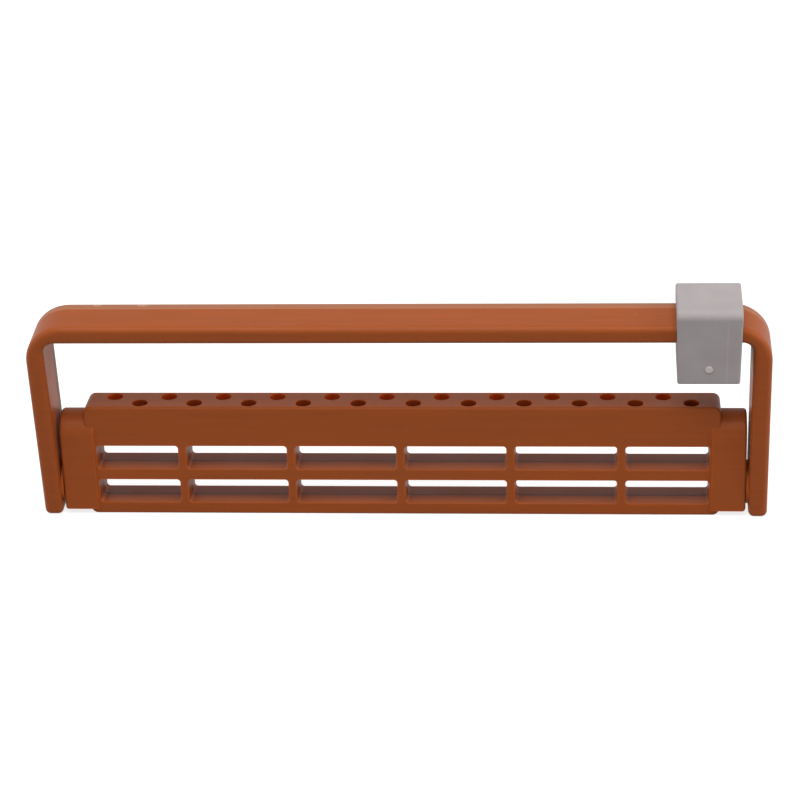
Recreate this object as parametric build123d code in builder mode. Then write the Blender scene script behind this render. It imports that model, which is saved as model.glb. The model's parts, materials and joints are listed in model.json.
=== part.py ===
"""Dental bur block: a slotted block for two rows of burs, with a hinged guard and a sliding stop.

Millimetres, +Z up. The origin is the centre of the block's base. X runs along the block,
and its front faces -Y.
"""
import os
from math import cos, radians, sin, tan

from build123d import *

os.makedirs("parts", exist_ok=True)

# Bur holes, in two staggered rows
hole_diameter = 2.5
hole_pitch = 9.0
holes_per_row = 11
row_spacing = 2.5
hole_to_end = 4.75
hole_wall = 0.675
hole_lip = 0.15
hole_breakthrough = 1.0

# Slots through the block, in two tiers, widening from the parting line to both faces
slot_height = 4.1
slot_corner = 0.5
slot_draft = 1.2
upright_width = 1.45
end_wall = 1.8

# Rails under the slots, and the drilled band over them
base_rail = 2.15
middle_rail = 2.0
top_band = 7.0
block_corner = 1.2
block_edge = 0.45

# End hubs, with a flat foot and a full-round top
hub_width = 5.7
hub_overlap = 1.5
hub_bottom = 1.0
hub_drop = 1.75
hub_proud = 0.425
hub_edge = 0.5
hub_inner_edge = 0.2

# Hinge studs on the guard's arms, and their sockets in the hubs
pivot_height = 4.75
stud_diameter = 3.4
stud_length = 3.0
stud_chamfer = 0.4
socket_clearance = 0.06
socket_end_gap = 0.4
shoulder_gap = 0.06

# Guard, a flat strap bent round the ends of the block and leaning to the front
guard_lean = 6.5
strap_width = 8.9
strap_thickness = 3.05
strap_edge = 0.95
arm_gap = 0.45
bur_room = 13.55
outer_bend = 6.5
inner_bend = 1.8
foot_gap = 0.03

# Sliding stop, snapped over the bar from behind
stop_length = 10.35
stop_taper = 1.0
stop_wall = 1.1
stop_cap = 3.15
stop_height = 12.95
stop_crown = 1.3
stop_edge = 0.35
stop_clearance = 0.1
snap_lip = 0.3
pip_diameter = 1.2
pip_height = 0.2
pip_rise = 2.8
pip_round = 0.12

# Worked out from the sizes above: the block takes its size from its holes, slots and walls,
# a slot spans two holes of a row, and the guard clears the hubs and the burs
row_stagger = hole_pitch / 2
block_length = (holes_per_row - 1) * hole_pitch + row_stagger + 2 * hole_to_end
block_depth = row_spacing + hole_diameter + 2 * hole_wall
upper_slot_floor = base_rail + slot_height + middle_rail
slot_ceiling = upper_slot_floor + slot_height
block_height = slot_ceiling + top_band
slot_pitch = 2 * hole_pitch
inner_slots = holes_per_row // 2 - 1
inner_slot_length = slot_pitch - upright_width
outer_slot_start = inner_slots * slot_pitch / 2
outer_slot_end = block_length / 2 - end_wall
outer_slot_length = outer_slot_end - outer_slot_start - upright_width / 2
outer_slot_centre = outer_slot_end - outer_slot_length / 2
hub_inner = block_length / 2 - hub_overlap
hub_outer = hub_inner + hub_width
hub_depth = block_depth + 2 * hub_proud
hub_straight = block_height - hub_drop - hub_depth / 2 - hub_bottom
arm_inner = hub_outer + arm_gap
arm_outer = arm_inner + strap_thickness
bar_height = block_height - pivot_height + bur_room + strap_thickness
lean = radians(guard_lean)
foot_reach = (pivot_height - foot_gap - strap_edge - (strap_width / 2 - strap_edge) * sin(lean)) / cos(lean)
guard_height = bar_height + foot_reach + strap_edge
tunnel_width = strap_width + 2 * stop_clearance
tunnel_height = strap_thickness + 2 * stop_clearance
stop_depth = tunnel_width + 2 * (stop_wall - stop_clearance)
stop_top = bar_height + stop_cap
stop_centre = arm_inner - inner_bend - stop_length / 2
pip_root = stop_depth / 2 - (stop_height - pip_rise) * tan(radians(stop_taper)) - stop_wall

# The guard leans about its hinge: its own front, its rise along the arms, and the
# planes that its outline, its section and the top of the stop are drawn on
hinge = Vector(0, 0, pivot_height)
front = Vector(0, -cos(lean), -sin(lean))
rise = Vector(0, -sin(lean), cos(lean))
guard_plane = Plane(hinge, x_dir=(1, 0, 0), z_dir=front)
section_plane = Plane(hinge, x_dir=-front, z_dir=(1, 0, 0))
stop_top_plane = Plane(hinge + rise * stop_top + Vector(stop_centre, 0, 0), x_dir=(1, 0, 0), z_dir=rise)
guard_rise = Axis(hinge, rise)
guard_front = Axis(hinge, front)

# Right-hand end hub, standing proud of the block's front and back
with BuildPart() as hub:
    with BuildSketch(Plane.YZ.offset(hub_inner)):
        with Locations((0, hub_bottom)):
            Rectangle(hub_depth, hub_straight, align=(Align.CENTER, Align.MIN))
        with Locations((0, hub_bottom + hub_straight)):
            Circle(hub_depth / 2)
    extrude(amount=hub_outer - hub_inner)
    fillet(hub.faces().sort_by(Axis.X)[0].edges(), hub_inner_edge)
    fillet(hub.faces().sort_by(Axis.X)[-1].edges(), hub_edge)

# Block: body, hubs, slots and bur holes in one moulding
with BuildPart() as block:
    with BuildSketch(Plane.XZ):
        with Locations((0, block_height / 2)):
            RectangleRounded(block_length, block_height, block_corner)
    extrude(amount=block_depth / 2, both=True)
    fillet(block.faces().filter_by(Axis.Y).edges(), block_edge)

    add(hub.part)
    mirror(hub.part, about=Plane.YZ)

    with BuildSketch(Plane.XZ):
        for floor in (base_rail, upper_slot_floor):
            with Locations((0, floor + slot_height / 2)):
                with GridLocations(slot_pitch, slot_height, inner_slots, 1):
                    RectangleRounded(inner_slot_length, slot_height, slot_corner)
                with GridLocations(2 * outer_slot_centre, slot_height, 2, 1):
                    RectangleRounded(outer_slot_length, slot_height, slot_corner)
    extrude(amount=hub_depth / 2, both=True, taper=-slot_draft, mode=Mode.SUBTRACT)

    with BuildSketch(Plane.XY.offset(block_height)):
        with Locations((row_stagger / 2, -row_spacing / 2), (-row_stagger / 2, row_spacing / 2)):
            with GridLocations(hole_pitch, row_spacing, holes_per_row, 1):
                Circle(hole_diameter / 2)
    extrude(amount=-top_band - hole_breakthrough, mode=Mode.SUBTRACT)
    top_face = block.faces().sort_by(Axis.Z)[-1]
    chamfer(top_face.edges().filter_by(GeomType.CIRCLE), hole_lip)

    for side in (-1, 1):
        socket_mouth = Plane((side * hub_outer, 0, pivot_height), z_dir=(side, 0, 0))
        with Locations(socket_mouth):
            Hole(stud_diameter / 2 + socket_clearance, stud_length + socket_end_gap)

block.part.label = "block"
export_step(block.part, "parts/block.step")

# Right-hand hinge stud and its shoulder, rooted in the arm
with BuildPart() as stud:
    with BuildSketch(Plane.YZ.offset(arm_inner + strap_edge)):
        with Locations((0, pivot_height)):
            Circle(hub_depth / 2)
    extrude(amount=shoulder_gap - arm_gap - strap_edge)
    with BuildSketch(Plane.YZ.offset(arm_inner)):
        with Locations((0, pivot_height)):
            Circle(stud_diameter / 2)
    extrude(amount=-arm_gap - stud_length)
    chamfer(stud.faces().sort_by(Axis.X)[0].edges(), stud_chamfer)

# Guard: strap and studs in one moulding
with BuildPart() as guard:
    with BuildSketch(guard_plane) as outline:
        with Locations((0, bar_height)):
            Rectangle(2 * arm_outer, guard_height, align=(Align.CENTER, Align.MAX))
        fillet(outline.vertices().group_by(Axis.Y)[-1], outer_bend)
    extrude(amount=strap_width / 2, both=True)
    with BuildSketch(guard_plane) as opening:
        with Locations((0, bar_height - strap_thickness)):
            Rectangle(2 * arm_inner, guard_height, align=(Align.CENTER, Align.MAX))
        fillet(opening.vertices().group_by(Axis.Y)[-1], inner_bend)
    extrude(amount=strap_width, both=True, mode=Mode.SUBTRACT)
    fillet(guard.edges(), strap_edge)

    add(stud.part)
    mirror(stud.part, about=Plane.YZ)

guard.part.label = "guard"
export_step(guard.part, "parts/guard.step")

# Sliding stop: a drafted block with a tunnel for the bar, open at the back
with BuildPart() as stop:
    with BuildSketch(stop_top_plane):
        Rectangle(stop_length, stop_depth)
    extrude(amount=-stop_height, taper=stop_taper)
    crown_edges = stop.faces().sort_by(guard_rise)[-1].edges().filter_by(Axis.X)
    fillet(crown_edges, stop_crown)
    fillet(stop.edges(), stop_edge)

    with BuildSketch(section_plane):
        with Locations((0, bar_height - strap_thickness / 2)):
            RectangleRounded(tunnel_width, tunnel_height, strap_edge + stop_clearance)
            Rectangle(
                stop_depth, tunnel_height - 2 * snap_lip, align=(Align.MIN, Align.CENTER)
            )
    extrude(amount=arm_outer, mode=Mode.SUBTRACT)

    with BuildSketch(guard_plane.offset(pip_root)):
        with Locations((stop_centre, stop_top - stop_height + pip_rise)):
            Circle(pip_diameter / 2)
    extrude(amount=stop_wall + pip_height)
    fillet(stop.faces().sort_by(guard_front)[-1].edges(), pip_round)

stop.part.label = "stop"
export_step(stop.part, "parts/stop.step")
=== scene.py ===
"""Looks for a dental bur block: two moulded brown polymer parts and a small grey one, in a pale studio."""
import json
from math import cos, radians, sin

import bpy
from bpy.props import FloatProperty, FloatVectorProperty, PointerProperty
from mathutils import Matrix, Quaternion, Vector


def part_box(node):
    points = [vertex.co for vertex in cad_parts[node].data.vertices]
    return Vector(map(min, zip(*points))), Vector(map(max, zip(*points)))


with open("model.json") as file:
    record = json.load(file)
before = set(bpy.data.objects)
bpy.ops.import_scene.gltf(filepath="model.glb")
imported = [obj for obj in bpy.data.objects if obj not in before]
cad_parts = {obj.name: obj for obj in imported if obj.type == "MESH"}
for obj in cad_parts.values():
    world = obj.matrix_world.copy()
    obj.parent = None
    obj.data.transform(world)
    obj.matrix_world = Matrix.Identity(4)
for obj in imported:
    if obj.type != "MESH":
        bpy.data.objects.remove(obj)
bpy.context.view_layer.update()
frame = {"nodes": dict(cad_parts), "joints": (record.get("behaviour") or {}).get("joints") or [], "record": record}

bl_info = {
    "name": "Dental bur block",
    "version": (1, 0, 0),
    "blender": (4, 5, 0),
    "location": "View3D > Sidebar > Bur block",
    "description": "Dresses a packed dental bur block in its moulded polymers and sets up its studio",
    "category": "Object",
}

MM = 0.001

# Places of the CAD pieces and of the hinge, and the ceiling of the block's upper slots
STOP_LOW, STOP_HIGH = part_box("stop")
BLOCK_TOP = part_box("block")[1].z
HINGE = next(joint["pos_m"] for joint in frame["joints"] if joint["type"] == "hinge")
OPENINGS = {opening["name"]: opening["box_m"] for opening in frame["record"]["physics"]["openings"]}
SLOT_CEILING = max(high[2] for name, (low, high) in OPENINGS.items() if "slot" in name)

# The bores' radius, how far the outermost ones stand from the block's middle along it and across it,
# and a margin round them that stays inside the block's walls
BORES = [mount for mount in frame["record"]["mounts"] if mount["kind"] == "bore"]
BORE_RADIUS = BORES[0]["dims"]["r_mm"] * MM
LAST_BORE = max(bore["pos_m"][0] for bore in BORES)
ROW_OFFSET = max(bore["pos_m"][1] for bore in BORES)
BORE_MARGIN = 0.1 * MM

# The guard leans to the front at rest by this much. Its strap's outer side lies more than this far above
# the hinge, along the arms, or more than this far from the middle of the bar
GUARD_LEAN = radians(6.5)
OUTER_RISE = 28.9 * MM
OUTER_REACH = 57.3 * MM

# Pale spots on the guard's bar, from the hinge: the place along the bar and half the length of each.
# They lie on the bar's rounded back edge, and a small speck lies on its top
SPOT_RISE = 31.0 * MM
SPOT_BACK = 3.5 * MM
SPOT_LENGTHS = ((-48.6 * MM, 0.8 * MM), (-41.2 * MM, 1.1 * MM))
SPOT_DEPTH = 0.5 * MM
SPOT_HEIGHT = 0.9 * MM
SPECK_PLACE = 38.2 * MM
SPECK_RADIUS = 0.2 * MM
SPECK_HEIGHT = 0.6 * MM

# Noise values between which each pattern goes from one look to the other
STREAK_NOISE = {"From Min": 0.35, "From Max": 0.65}
CLOUD_NOISE = {"From Min": 0.3, "From Max": 0.7}
SPOT_NOISE = {"From Min": 0.46, "From Max": 0.56}

# The clouds' change of roughness, either way
ROUGHNESS_CHANGE = 0.03

# Cosine of the rounded normal to the true one at which an edge's painted glow is full
EDGE_COSINE = 0.82

# Share of a pale mark's size up to which it is full
MARK_CORE = 0.75

# Corners of the round floor, and the nearest and farthest that the camera sees
FLOOR_CORNERS = 96
NEAR_CLIP = 0.01
FAR_CLIP = 20

# Sockets of a Mix node that mixes colours
SHARE, UNDER, OVER, MIXED = 0, 6, 7, 2


def linear(hex_colour):
    """Turns an sRGB hex colour such as #9E4F26 into linear RGBA."""
    channels = [int(hex_colour[i:i + 2], 16) / 255 for i in (1, 3, 5)]
    return (*(c / 12.92 if c <= 0.04045 else ((c + 0.055) / 1.055) ** 2.4 for c in channels), 1.0)


def add_node(tree, kind, inputs=None, **settings):
    """Adds a node, sets its settings, and fills its inputs with values or links them to sockets."""
    node = tree.nodes.new(kind)
    for name, value in settings.items():
        setattr(node, name, value)
    for key, value in (inputs or {}).items():
        if isinstance(value, bpy.types.NodeSocket):
            tree.links.new(value, node.inputs[key])
        else:
            node.inputs[key].default_value = value
    return node


def new_material(name):
    """An empty node material, and its tree."""
    material = bpy.data.materials.new(name)
    material.use_nodes = True
    material.node_tree.nodes.clear()
    return material, material.node_tree


def dress(node, material):
    """Gives a CAD node one material all over."""
    slots = frame["nodes"][node].data.materials
    slots.clear()
    slots.append(material)


class BurBlockBrown(bpy.types.PropertyGroup):
    """Finish of the block and the guard."""
    colour: FloatVectorProperty(
        name="Polymer", description="Colour of the brown polymer", subtype="COLOR", size=4,
        min=0, max=1, default=linear("#9D4C1D"),
    )
    streak_colour: FloatVectorProperty(
        name="Streaks", description="Colour of the faint flow streaks", subtype="COLOR", size=4,
        min=0, max=1, default=linear("#964A1E"),
    )
    seam_colour: FloatVectorProperty(
        name="Seam", description="Colour along the parting line in the slots and on the block's ends",
        subtype="COLOR", size=4, min=0, max=1, default=linear("#552512"),
    )
    # Painted light on the guard's back strip: a sheen outside, shade inside, and a highlight line outside
    land_sheen_colour: FloatVectorProperty(
        name="Land", description="Colour of the paler strip along the guard's back edge, outside",
        subtype="COLOR", size=4, min=0, max=1, default=linear("#A0674A"),
    )
    inner_land_shade_colour: FloatVectorProperty(
        name="Inner land", description="Colour of the strip along the guard's back edge, inside",
        subtype="COLOR", size=4, min=0, max=1, default=linear("#7E3C1C"),
    )
    land_line_highlight_colour: FloatVectorProperty(
        name="Land's line", description="Colour of the fine line in front of that strip", subtype="COLOR",
        size=4, min=0, max=1, default=linear("#B06A44"),
    )
    # Painted light: colour of the painted orange glow along the edges
    edge_glow_colour: FloatVectorProperty(
        name="Edges", description="Colour at sharp edges, where light comes through the polymer",
        subtype="COLOR", size=4, min=0, max=1, default=linear("#C05A1B"),
    )
    # Painted light in the bores: darker painted shade in the middle, a brighter painted glow near the thin walls
    bore_shade_colour: FloatVectorProperty(
        name="Bores", description="Colour of the bores' walls in the middle of the block",
        subtype="COLOR", size=4, min=0, max=1, default=linear("#8A330C"),
    )
    thin_wall_glow_colour: FloatVectorProperty(
        name="Thin walls", description="Colour of the bores' walls where light comes through them",
        subtype="COLOR", size=4, min=0, max=1, default=linear("#C4440C"),
    )
    # Colour of the small pale spots on the guard's bar
    spot_colour: FloatVectorProperty(
        name="Scuffs", description="Colour of the pale scuffs on the guard", subtype="COLOR", size=4,
        min=0, max=1, default=linear("#C29A85"),
    )
    roughness: FloatProperty(
        name="Roughness", description="Mean roughness of the moulded skin", min=0, max=1, default=0.45,
    )
    index: FloatProperty(
        name="Index", description="Refractive index of the polymer", min=1, max=2, default=1.6,
    )
    gloss: FloatProperty(
        name="Gloss", description="Specular level of the grained skin, where 0.5 is the bare polymer's",
        min=0, max=1, default=0.115,
    )
    grain_size: FloatProperty(
        name="Grain", description="Size of the mould's spark-eroded grain, drawn coarse enough to show",
        unit="LENGTH", min=0, default=0.3 * MM,
    )
    grain_depth: FloatProperty(
        name="Grain depth", description="Depth of the grain", unit="LENGTH", min=0, default=0.004 * MM,
    )
    cloud_size: FloatProperty(
        name="Cloud", description="Size of the soft changes of gloss", unit="LENGTH", min=0, default=6 * MM,
    )
    streak_length: FloatProperty(
        name="Streak length", description="Length of the flow streaks, along the block and the bar",
        unit="LENGTH", min=0, default=14 * MM,
    )
    streak_width: FloatProperty(
        name="Streak width", description="Width of the flow streaks", unit="LENGTH", min=0, default=0.9 * MM,
    )
    seam_width: FloatProperty(
        name="Seam width", description="Width of the parting line, without its soft rims", unit="LENGTH",
        min=0, default=0.25 * MM,
    )
    # How far the painted edge glow reaches from an edge
    edge_reach: FloatProperty(
        name="Edge reach", description="How far from a sharp edge light comes through", unit="LENGTH",
        min=0, default=0.4 * MM,
    )
    land_start: FloatProperty(
        name="Land's start", description="How far behind the strap's middle that strip starts",
        unit="LENGTH", default=2.3 * MM,
    )


class BurBlockGrey(bpy.types.PropertyGroup):
    """Finish of the sliding stop."""
    colour: FloatVectorProperty(
        name="Polymer", description="Colour of the grey polymer", subtype="COLOR", size=4,
        min=0, max=1, default=linear("#ABA4A4"),
    )
    cloud_colour: FloatVectorProperty(
        name="Clouds", description="Colour of the faint clouds in it", subtype="COLOR", size=4,
        min=0, max=1, default=linear("#A59D9D"),
    )
    pale_colour: FloatVectorProperty(
        name="Pip", description="Colour of the stress-whitened pip and of the fine witness line",
        subtype="COLOR", size=4, min=0, max=1, default=linear("#C9C1BF"),
    )
    roughness: FloatProperty(
        name="Roughness", description="Mean roughness of the moulded skin", min=0, max=1, default=0.6,
    )
    index: FloatProperty(
        name="Index", description="Refractive index of the polymer", min=1, max=2, default=1.48,
    )
    gloss: FloatProperty(
        name="Gloss", description="Specular level of the grained skin, where 0.5 is the bare polymer's",
        min=0, max=1, default=0.08,
    )
    grain_size: FloatProperty(
        name="Grain", description="Size of the mould's spark-eroded grain, drawn coarse enough to show",
        unit="LENGTH", min=0, default=0.3 * MM,
    )
    grain_depth: FloatProperty(
        name="Grain depth", description="Depth of the grain", unit="LENGTH", min=0, default=0.004 * MM,
    )
    cloud_size: FloatProperty(
        name="Cloud", description="Size of the faint clouds", unit="LENGTH", min=0, default=5 * MM,
    )
    pip_radius: FloatProperty(
        name="Pip radius", description="Radius of the pale mark over the pip on the front",
        unit="LENGTH", min=0, default=0.68 * MM,
    )
    pip_height: FloatProperty(
        name="Pip height", description="Height of the pip above the hinge, along the guard's arms",
        unit="LENGTH", min=0, default=24.2 * MM,
    )
    line_inset: FloatProperty(
        name="Witness line", description="From the stop's right end to the fine line down its front",
        unit="LENGTH", min=0, default=2.35 * MM,
    )
    line_width: FloatProperty(
        name="Line width", description="Width of that line", unit="LENGTH", min=0, default=0.16 * MM,
    )
    line_strength: FloatProperty(
        name="Line strength", description="How far that line has the pip's colour", min=0, max=1,
        default=0.25,
    )
    line_top: FloatProperty(
        name="Line top", description="Height above the hinge at which that line has faded, under the crown",
        unit="LENGTH", min=0, default=33 * MM,
    )
    line_fade: FloatProperty(
        name="Line fade", description="Stretch over which that line fades", unit="LENGTH", min=0,
        default=1 * MM,
    )


class BurBlockStage(bpy.types.PropertyGroup):
    """Camera, lamps, floor and world."""
    azimuth: FloatProperty(
        name="Azimuth", description="Camera's turn round the block, from straight in front",
        subtype="ANGLE", default=radians(5.04),
    )
    elevation: FloatProperty(
        name="Elevation", description="Camera's height above the horizon", subtype="ANGLE",
        default=radians(24.16),
    )
    roll: FloatProperty(
        name="Roll", description="Camera's turn about its own line of sight", subtype="ANGLE",
        default=radians(-2.04),
    )
    distance: FloatProperty(
        name="Distance", description="From the camera to the point that it looks at", unit="LENGTH",
        default=414.6 * MM,
    )
    target_height: FloatProperty(
        name="Target height", description="Height of the point that the camera looks at", unit="LENGTH",
        default=19.3 * MM,
    )
    focal_length: FloatProperty(
        name="Focal length", description="Lens of the camera, in millimetres", default=114.3, min=1,
    )
    sensor_width: FloatProperty(
        name="Sensor", description="Width of the camera's sensor, in millimetres", default=36.0, min=1,
    )
    floor_radius: FloatProperty(
        name="Floor radius", description="Radius of the pale floor", unit="LENGTH", default=3.0,
    )
    floor_colour: FloatVectorProperty(
        name="Floor", description="Colour of the matt floor", subtype="COLOR", size=4,
        min=0, max=1, default=linear("#A8A8A8"),
    )
    floor_glow: FloatProperty(
        name="Floor paleness", description="How far the camera sees the floor as plain white", min=0, max=1,
        default=0.8,
    )
    ambient: FloatProperty(
        name="Ambient", description="Strength of the even light from all round", min=0, default=0.2,
    )
    top_power: FloatProperty(
        name="Top lamp", description="Power of the lamp overhead", unit="POWER", default=3.0,
    )
    top_place: FloatVectorProperty(
        name="Top lamp's place", description="Place of the lamp overhead", size=3, unit="LENGTH",
        default=(0, -0.22, 0.555),
    )
    top_side: FloatProperty(
        name="Top lamp's side", description="Side of the square lamp overhead", unit="LENGTH", default=0.5,
    )
    left_power: FloatProperty(
        name="Left lamp", description="Power of the lamp at the left", unit="POWER", default=1.1,
    )
    right_power: FloatProperty(
        name="Right lamp", description="Power of the lamp at the right", unit="POWER", default=2.1,
    )
    side_place: FloatVectorProperty(
        name="Side lamps' place", description="Place of the lamp at the right, which the left one mirrors",
        size=3, unit="LENGTH", default=(0.6, -0.06, 0.25),
    )
    front_power: FloatProperty(
        name="Front lamp", description="Power of the lamp by the camera", unit="POWER", default=0.25,
    )
    front_place: FloatVectorProperty(
        name="Front lamp's place", description="Place of the lamp by the camera", size=3, unit="LENGTH",
        default=(0.1, -0.8, 0.35),
    )
    soft_side: FloatProperty(
        name="Other lamps' side", description="Side of the square lamps at the sides and the front",
        unit="LENGTH", default=0.5,
    )


def along_guard(tree):
    """Socket of a place on the guard or the stop, from the hinge: X along the bar, Y to the strap's
    back and Z up the leaning arms."""
    place = add_node(tree, "ShaderNodeTexCoord").outputs["Object"]
    upright = add_node(
        tree, "ShaderNodeMapping", {"Vector": place, "Location": HINGE, "Rotation": (GUARD_LEAN, 0, 0)},
        vector_type="TEXTURE",
    )
    return upright.outputs["Vector"]


def streaked_brown(tree, place, look):
    """Colour of brown polysulfone, with faint streaks where the melt ran along the block and the bar."""
    stretch = look.streak_width / look.streak_length
    run = add_node(tree, "ShaderNodeMapping", {"Vector": place, "Scale": (stretch, 1, 1)})
    streaks = add_node(tree, "ShaderNodeTexNoise", {
        "Vector": run.outputs["Vector"], "Scale": 1 / look.streak_width, "Detail": 3.0,
    })
    share = add_node(tree, "ShaderNodeMapRange", {"Value": streaks.outputs["Fac"], **STREAK_NOISE})
    colour = add_node(tree, "ShaderNodeMix", {
        SHARE: share.outputs["Result"], UNDER: look.colour, OVER: look.streak_colour,
    }, data_type="RGBA")
    return colour.outputs[MIXED]


def painted_edge_glow(tree, colour, look):
    """Colour with a painted orange glow along convex and hollow edges, standing in for light through the polymer.
    """
    rounded = add_node(tree, "ShaderNodeBevel", {"Radius": look.edge_reach}, samples=4)
    surface = add_node(tree, "ShaderNodeNewGeometry")
    facing = add_node(tree, "ShaderNodeVectorMath", {
        0: rounded.outputs["Normal"], 1: surface.outputs["Normal"],
    }, operation="DOT_PRODUCT")
    share = add_node(tree, "ShaderNodeMapRange", {
        "Value": facing.outputs["Value"], "From Min": 1.0, "From Max": EDGE_COSINE,
    })
    glowing = add_node(tree, "ShaderNodeMix", {
        SHARE: share.outputs["Result"], UNDER: colour, OVER: look.edge_glow_colour,
    }, data_type="RGBA")
    return glowing.outputs[MIXED]


def in_half_sizes(tree, place, centre, half_size):
    """Socket of the way from a centre, measured along each axis in half sizes."""
    local = add_node(
        tree, "ShaderNodeMapping", {"Vector": place, "Location": centre, "Scale": half_size},
        vector_type="TEXTURE",
    )
    return local.outputs["Vector"]


def pale_mark(tree, place, centre, half_size):
    """Socket that is 1 inside a small mark and falls to 0 at its rim."""
    away = add_node(
        tree, "ShaderNodeVectorMath", {0: in_half_sizes(tree, place, centre, half_size)}, operation="LENGTH"
    )
    mark = add_node(tree, "ShaderNodeMapRange", {
        "Value": away.outputs["Value"], "From Min": MARK_CORE, "From Max": 1.0, "To Min": 1.0, "To Max": 0.0,
    })
    return mark.outputs["Result"]


def inside_box(tree, place, centre, half_size):
    """Socket that is 1 inside a box and 0 outside it."""
    axes = add_node(
        tree, "ShaderNodeSeparateXYZ", {"Vector": in_half_sizes(tree, place, centre, half_size)}
    )
    inside = 1.0
    for axis in axes.outputs:
        within = add_node(tree, "ShaderNodeMath", {0: axis, 1: 0.0, 2: 1.0}, operation="COMPARE")
        inside = add_node(
            tree, "ShaderNodeMath", {0: within.outputs[0], 1: inside}, operation="MULTIPLY"
        ).outputs[0]
    return inside


def moulded_skin(tree, place, colour, look, least_roughness=0.0):
    """Skin from a spark-eroded mould: satin, with a fine even grain that breaks up the highlights, and
    soft clouds of a little more and less gloss. It is nowhere smoother than the least roughness. The
    real grain is about 0.05 mm, too fine to show, so it is drawn coarser."""
    clouds = add_node(tree, "ShaderNodeTexNoise", {"Vector": place, "Scale": 1 / look.cloud_size})
    clouded = add_node(tree, "ShaderNodeMapRange", {
        "Value": clouds.outputs["Fac"], **CLOUD_NOISE,
        "To Min": look.roughness - ROUGHNESS_CHANGE, "To Max": look.roughness + ROUGHNESS_CHANGE,
    })
    roughness = add_node(
        tree, "ShaderNodeMath", {0: clouded.outputs["Result"], 1: least_roughness}, operation="MAXIMUM"
    )
    grain = add_node(tree, "ShaderNodeTexNoise", {
        "Vector": place, "Scale": 1 / look.grain_size, "Detail": 2.0, "Roughness": 0.6,
    })
    relief = add_node(tree, "ShaderNodeBump", {"Height": grain.outputs["Fac"], "Distance": look.grain_depth})
    shader = add_node(tree, "ShaderNodeBsdfPrincipled", {
        "Base Color": colour, "Roughness": roughness.outputs[0], "Normal": relief.outputs["Normal"],
        "IOR": look.index, "Specular IOR Level": look.gloss,
    })
    add_node(tree, "ShaderNodeOutputMaterial", {"Surface": shader.outputs["BSDF"]})


def moulded_polysulfone_block(look):
    """Brown polysulfone, injection moulded: an even satin brown, with a fine darker seam where the two
    halves of the mould met, in the middle of each slot and low on the block's ends, and a painted orange
    glow along its edges. The bores' walls are painted a darker orange as shade, and a brighter orange near
    the thin outer walls as painted light coming through them. The bores are fully rough, so that nothing
    of the studio shines in them."""
    material, tree = new_material("moulded_polysulfone_block")
    place = add_node(tree, "ShaderNodeTexCoord").outputs["Object"]
    axes = add_node(tree, "ShaderNodeSeparateXYZ", {"Vector": place})
    off_middle = add_node(tree, "ShaderNodeMath", {0: axes.outputs["Y"]}, operation="ABSOLUTE")
    seam = add_node(tree, "ShaderNodeMapRange", {
        "Value": off_middle.outputs[0], "From Min": look.seam_width / 2, "From Max": look.seam_width,
        "To Min": 1.0, "To Max": 0.0,
    })
    in_slots = add_node(tree, "ShaderNodeMath", {
        0: axes.outputs["Z"], 1: SLOT_CEILING + look.seam_width,
    }, operation="LESS_THAN")
    share = add_node(
        tree, "ShaderNodeMath", {0: seam.outputs["Result"], 1: in_slots.outputs[0]}, operation="MULTIPLY"
    )
    colour = add_node(tree, "ShaderNodeMix", {
        SHARE: share.outputs[0], UNDER: painted_edge_glow(tree, streaked_brown(tree, place, look), look),
        OVER: look.seam_colour,
    }, data_type="RGBA")

    # Painted light in the bores: shade in a darker orange, and a brighter orange glow towards the thin outer walls
    half_band = (BLOCK_TOP - SLOT_CEILING) / 2
    past_bores = BORE_RADIUS + BORE_MARGIN
    bores = inside_box(
        tree, place, (0, 0, SLOT_CEILING + half_band),
        (LAST_BORE + past_bores, ROW_OFFSET + past_bores, half_band - BORE_MARGIN),
    )
    outward = add_node(tree, "ShaderNodeMapRange", {
        "Value": off_middle.outputs[0],
        "From Min": ROW_OFFSET - BORE_RADIUS / 2, "From Max": ROW_OFFSET + BORE_RADIUS / 2,
    })
    wall = add_node(tree, "ShaderNodeMix", {
        SHARE: outward.outputs["Result"], UNDER: look.bore_shade_colour, OVER: look.thin_wall_glow_colour,
    }, data_type="RGBA")
    in_bores = add_node(tree, "ShaderNodeMix", {
        SHARE: bores, UNDER: colour.outputs[MIXED], OVER: wall.outputs[MIXED],
    }, data_type="RGBA")
    moulded_skin(tree, place, in_bores.outputs[MIXED], look, bores)
    return material


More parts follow.
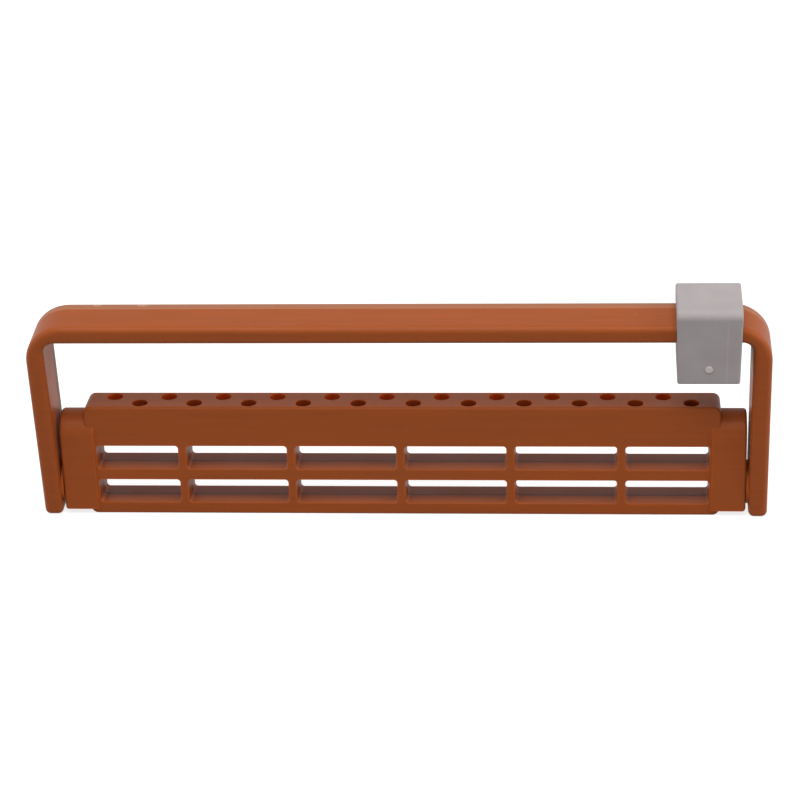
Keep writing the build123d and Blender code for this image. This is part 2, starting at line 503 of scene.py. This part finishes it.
def moulded_polysulfone_guard(look, spots):
    """The same brown polysulfone. Along the strap near its back, behind the mould's parting line, the strip
    has a paler painted sheen outside and darker painted shade inside, with a painted highlight line in front
    of it outside. Small pale spots lie on the bar."""
    material, tree = new_material("moulded_polysulfone_guard")
    place = along_guard(tree)
    axes = add_node(tree, "ShaderNodeSeparateXYZ", {"Vector": place})
    colour = painted_edge_glow(tree, streaked_brown(tree, place, look), look)
    above = add_node(tree, "ShaderNodeMath", {0: axes.outputs["Z"], 1: OUTER_RISE}, operation="GREATER_THAN")
    off_middle = add_node(tree, "ShaderNodeMath", {0: axes.outputs["X"]}, operation="ABSOLUTE")
    beyond = add_node(
        tree, "ShaderNodeMath", {0: off_middle.outputs[0], 1: OUTER_REACH}, operation="GREATER_THAN"
    )
    outside = add_node(
        tree, "ShaderNodeMath", {0: above.outputs[0], 1: beyond.outputs[0]}, operation="MAXIMUM"
    )
    # Painted light on the strap's back strip: outside a highlight line and a paler sheen, inside shade
    line_start = look.land_start - look.seam_width
    for start, inner, outer in (
        (line_start, look.seam_colour, look.land_line_highlight_colour),
        (look.land_start, look.inner_land_shade_colour, look.land_sheen_colour),
    ):
        behind = add_node(tree, "ShaderNodeMapRange", {
            "Value": axes.outputs["Y"], "From Min": start, "From Max": start + look.seam_width / 2,
        })
        over = add_node(
            tree, "ShaderNodeMix", {SHARE: outside.outputs[0], UNDER: inner, OVER: outer}, data_type="RGBA"
        )
        colour = add_node(tree, "ShaderNodeMix", {
            SHARE: behind.outputs["Result"], UNDER: colour, OVER: over.outputs[MIXED],
        }, data_type="RGBA").outputs[MIXED]
    flecks = add_node(tree, "ShaderNodeTexNoise", {"Vector": place, "Scale": 1 / look.grain_size})
    broken_up = add_node(tree, "ShaderNodeMapRange", {"Value": flecks.outputs["Fac"], **SPOT_NOISE})
    for centre, half_size in spots:
        mark = pale_mark(tree, place, centre, half_size)
        share = add_node(tree, "ShaderNodeMath", {0: mark, 1: broken_up.outputs["Result"]}, operation="MULTIPLY")
        colour = add_node(tree, "ShaderNodeMix", {
            SHARE: share.outputs[0], UNDER: colour, OVER: look.spot_colour,
        }, data_type="RGBA").outputs[MIXED]
    moulded_skin(tree, place, colour, look)
    return material


def moulded_grey_acetal(look):
    """Grey acetal, injection moulded: a dry satin grey with faint clouds, a pale pip where the gate was
    cut off and the polymer whitened, and a fine witness line of the mould down the front."""
    material, tree = new_material("moulded_grey_acetal")
    place = along_guard(tree)
    clouds = add_node(tree, "ShaderNodeTexNoise", {"Vector": place, "Scale": 1 / look.cloud_size})
    share = add_node(tree, "ShaderNodeMapRange", {"Value": clouds.outputs["Fac"], **CLOUD_NOISE})
    grey = add_node(tree, "ShaderNodeMix", {
        SHARE: share.outputs["Result"], UNDER: look.colour, OVER: look.cloud_colour,
    }, data_type="RGBA")
    axes = add_node(tree, "ShaderNodeSeparateXYZ", {"Vector": place})
    on_line = add_node(tree, "ShaderNodeMath", {
        0: axes.outputs["X"], 1: STOP_HIGH.x - look.line_inset, 2: look.line_width / 2,
    }, operation="COMPARE")
    below_crown = add_node(tree, "ShaderNodeMapRange", {
        "Value": axes.outputs["Z"], "From Min": look.line_top - look.line_fade, "From Max": look.line_top,
        "To Min": look.line_strength, "To Max": 0.0,
    })
    faint = add_node(tree, "ShaderNodeMath", {
        0: on_line.outputs[0], 1: below_crown.outputs["Result"],
    }, operation="MULTIPLY")
    lined = add_node(tree, "ShaderNodeMix", {
        SHARE: faint.outputs[0], UNDER: grey.outputs[MIXED], OVER: look.pale_colour,
    }, data_type="RGBA")

    # Half the depth of the leaning stop's box lies a little past its own front, so the pip's mark is
    # centred there and is deep enough to cover the pip
    middle = (STOP_LOW.x + STOP_HIGH.x) / 2
    front = (STOP_LOW.y - STOP_HIGH.y) / 2
    pip = pale_mark(
        tree, place, (middle, front, look.pip_height), (look.pip_radius, -front / 2, look.pip_radius)
    )
    colour = add_node(tree, "ShaderNodeMix", {
        SHARE: pip, UNDER: lined.outputs[MIXED], OVER: look.pale_colour,
    }, data_type="RGBA")
    moulded_skin(tree, place, colour.outputs[MIXED], look)
    return material


def seen_directly(tree):
    """Socket that is 1 for camera, glossy and transmission rays."""
    ray = add_node(tree, "ShaderNodeLightPath")
    shown = ray.outputs["Is Camera Ray"]
    for other in ("Is Glossy Ray", "Is Transmission Ray"):
        shown = add_node(
            tree, "ShaderNodeMath", {0: shown, 1: ray.outputs[other]}, operation="MAXIMUM"
        ).outputs[0]
    return shown


def matt_floor(look):
    """Matt painted floor. It is seen as nearly plain white, with the object's soft shadow."""
    material, tree = new_material("matt_painted_floor")
    paint = add_node(tree, "ShaderNodeBsdfDiffuse", {"Color": look.floor_colour})
    strength = add_node(tree, "ShaderNodeMapRange", {"Value": seen_directly(tree), "To Max": look.floor_glow})
    glow = add_node(tree, "ShaderNodeEmission", {"Strength": strength.outputs["Result"]})
    both = add_node(tree, "ShaderNodeAddShader", {0: paint.outputs["BSDF"], 1: glow.outputs["Emission"]})
    add_node(tree, "ShaderNodeOutputMaterial", {"Surface": both.outputs["Shader"]})
    return material


class OBJECT_OT_bur_block_dress_block(bpy.types.Operator):
    """Gives the slotted block its brown moulded finish"""
    bl_idname = "object.bur_block_dress_block"
    bl_label = "Dress block"

    def execute(self, context):
        dress("block", moulded_polysulfone_block(context.scene.bur_block_brown))
        return {"FINISHED"}


class OBJECT_OT_bur_block_dress_guard(bpy.types.Operator):
    """Gives the hinged guard its brown moulded finish, with small pale spots on its bar"""
    bl_idname = "object.bur_block_dress_guard"
    bl_label = "Dress guard"

    def execute(self, context):
        spots = [
            ((along, SPOT_BACK, SPOT_RISE), (half_length, SPOT_DEPTH, SPOT_HEIGHT))
            for along, half_length in SPOT_LENGTHS
        ]
        spots.append(((SPECK_PLACE, 0, SPOT_RISE), (SPECK_RADIUS, SPECK_RADIUS, SPECK_HEIGHT)))
        dress("guard", moulded_polysulfone_guard(context.scene.bur_block_brown, spots))
        return {"FINISHED"}


class OBJECT_OT_bur_block_dress_stop(bpy.types.Operator):
    """Gives the sliding stop its grey moulded finish"""
    bl_idname = "object.bur_block_dress_stop"
    bl_label = "Dress stop"

    def execute(self, context):
        dress("stop", moulded_grey_acetal(context.scene.bur_block_grey))
        return {"FINISHED"}


class OBJECT_OT_bur_block_stage(bpy.types.Operator):
    """Adds the floor, the lamps, the world and the camera"""
    bl_idname = "object.bur_block_stage"
    bl_label = "Set up stage"

    def execute(self, context):
        look = context.scene.bur_block_stage
        bpy.ops.mesh.primitive_circle_add(
            vertices=FLOOR_CORNERS, radius=look.floor_radius, fill_type="NGON"
        )
        floor = context.active_object
        floor.name = "floor"
        floor.data.materials.append(matt_floor(look))

        target = Vector((0, 0, look.target_height))
        right = Vector(look.side_place)
        left = right * Vector((-1, 1, 1))
        add_lamp(context, "lamp_top", Vector(look.top_place), target, look.top_side, look.top_power)
        add_lamp(context, "lamp_left", left, target, look.soft_side, look.left_power)
        add_lamp(context, "lamp_right", right, target, look.soft_side, look.right_power)
        add_lamp(context, "lamp_front", Vector(look.front_place), target, look.soft_side, look.front_power)
        light_world(context, look)
        add_camera(context, look, target)
        context.scene.view_settings.view_transform = "Standard"
        return {"FINISHED"}


def add_lamp(context, name, place, target, side, power):
    """A square soft lamp that faces a point."""
    data = bpy.data.lights.new(name, "AREA")
    data.shape = "SQUARE"
    data.size = side
    data.energy = power
    lamp = bpy.data.objects.new(name, data)
    lamp.location = place
    lamp.rotation_mode = "QUATERNION"
    lamp.rotation_quaternion = (target - place).to_track_quat("-Z", "Y")
    context.scene.collection.objects.link(lamp)


def light_world(context, look):
    """Even light from all round, seen as plain white."""
    world = bpy.data.worlds.new("studio_world")
    world.use_nodes = True
    tree = world.node_tree
    tree.nodes.clear()
    strength = add_node(tree, "ShaderNodeMapRange", {
        "Value": seen_directly(tree), "To Min": look.ambient, "To Max": 1.0,
    })
    background = add_node(tree, "ShaderNodeBackground", {
        "Color": (1, 1, 1, 1), "Strength": strength.outputs["Result"],
    })
    add_node(tree, "ShaderNodeOutputWorld", {"Surface": background.outputs["Background"]})
    context.scene.world = world


def add_camera(context, look, target):
    """The camera at the photograph's viewing angle."""
    data = bpy.data.cameras.new("camera")
    data.sensor_width = look.sensor_width
    data.lens = look.focal_length
    data.clip_start = NEAR_CLIP
    data.clip_end = FAR_CLIP
    camera = bpy.data.objects.new("camera", data)
    level = cos(look.elevation)
    back = Vector((sin(look.azimuth) * level, -cos(look.azimuth) * level, sin(look.elevation)))
    camera.location = target + back * look.distance
    camera.rotation_mode = "QUATERNION"
    camera.rotation_quaternion = back.to_track_quat("Z", "Y") @ Quaternion((0, 0, 1), look.roll)
    context.scene.collection.objects.link(camera)
    context.scene.camera = camera


STEPS = (
    OBJECT_OT_bur_block_dress_block,
    OBJECT_OT_bur_block_dress_guard,
    OBJECT_OT_bur_block_dress_stop,
    OBJECT_OT_bur_block_stage,
)


class VIEW3D_PT_bur_block(bpy.types.Panel):
    """Lists the steps and their settings"""
    bl_idname = "VIEW3D_PT_bur_block"
    bl_label = "Bur block"
    bl_space_type = "VIEW_3D"
    bl_region_type = "UI"
    bl_category = "Bur block"

    def draw(self, context):
        for step in STEPS:
            self.layout.operator(step.bl_idname)
        for name, group in GROUPS.items():
            box = self.layout.box()
            for setting in group.__annotations__:
                box.prop(getattr(context.scene, name), setting)


GROUPS = {
    "bur_block_brown": BurBlockBrown,
    "bur_block_grey": BurBlockGrey,
    "bur_block_stage": BurBlockStage,
}
CLASSES = (*GROUPS.values(), *STEPS, VIEW3D_PT_bur_block)


def register():
    """Registers the classes and hangs the settings on the scene."""
    for cls in CLASSES:
        bpy.utils.register_class(cls)
    for name, group in GROUPS.items():
        setattr(bpy.types.Scene, name, PointerProperty(type=group))


def unregister():
    """Takes the settings and the classes away again."""
    for name in GROUPS:
        delattr(bpy.types.Scene, name)
    for cls in reversed(CLASSES):
        bpy.utils.unregister_class(cls)


def main():
    """Registers the add-on and runs its steps in order."""
    register()
    bpy.ops.object.bur_block_dress_block()
    bpy.ops.object.bur_block_dress_guard()
    bpy.ops.object.bur_block_dress_stop()
    bpy.ops.object.bur_block_stage()


if __name__ == "__main__":
    main()
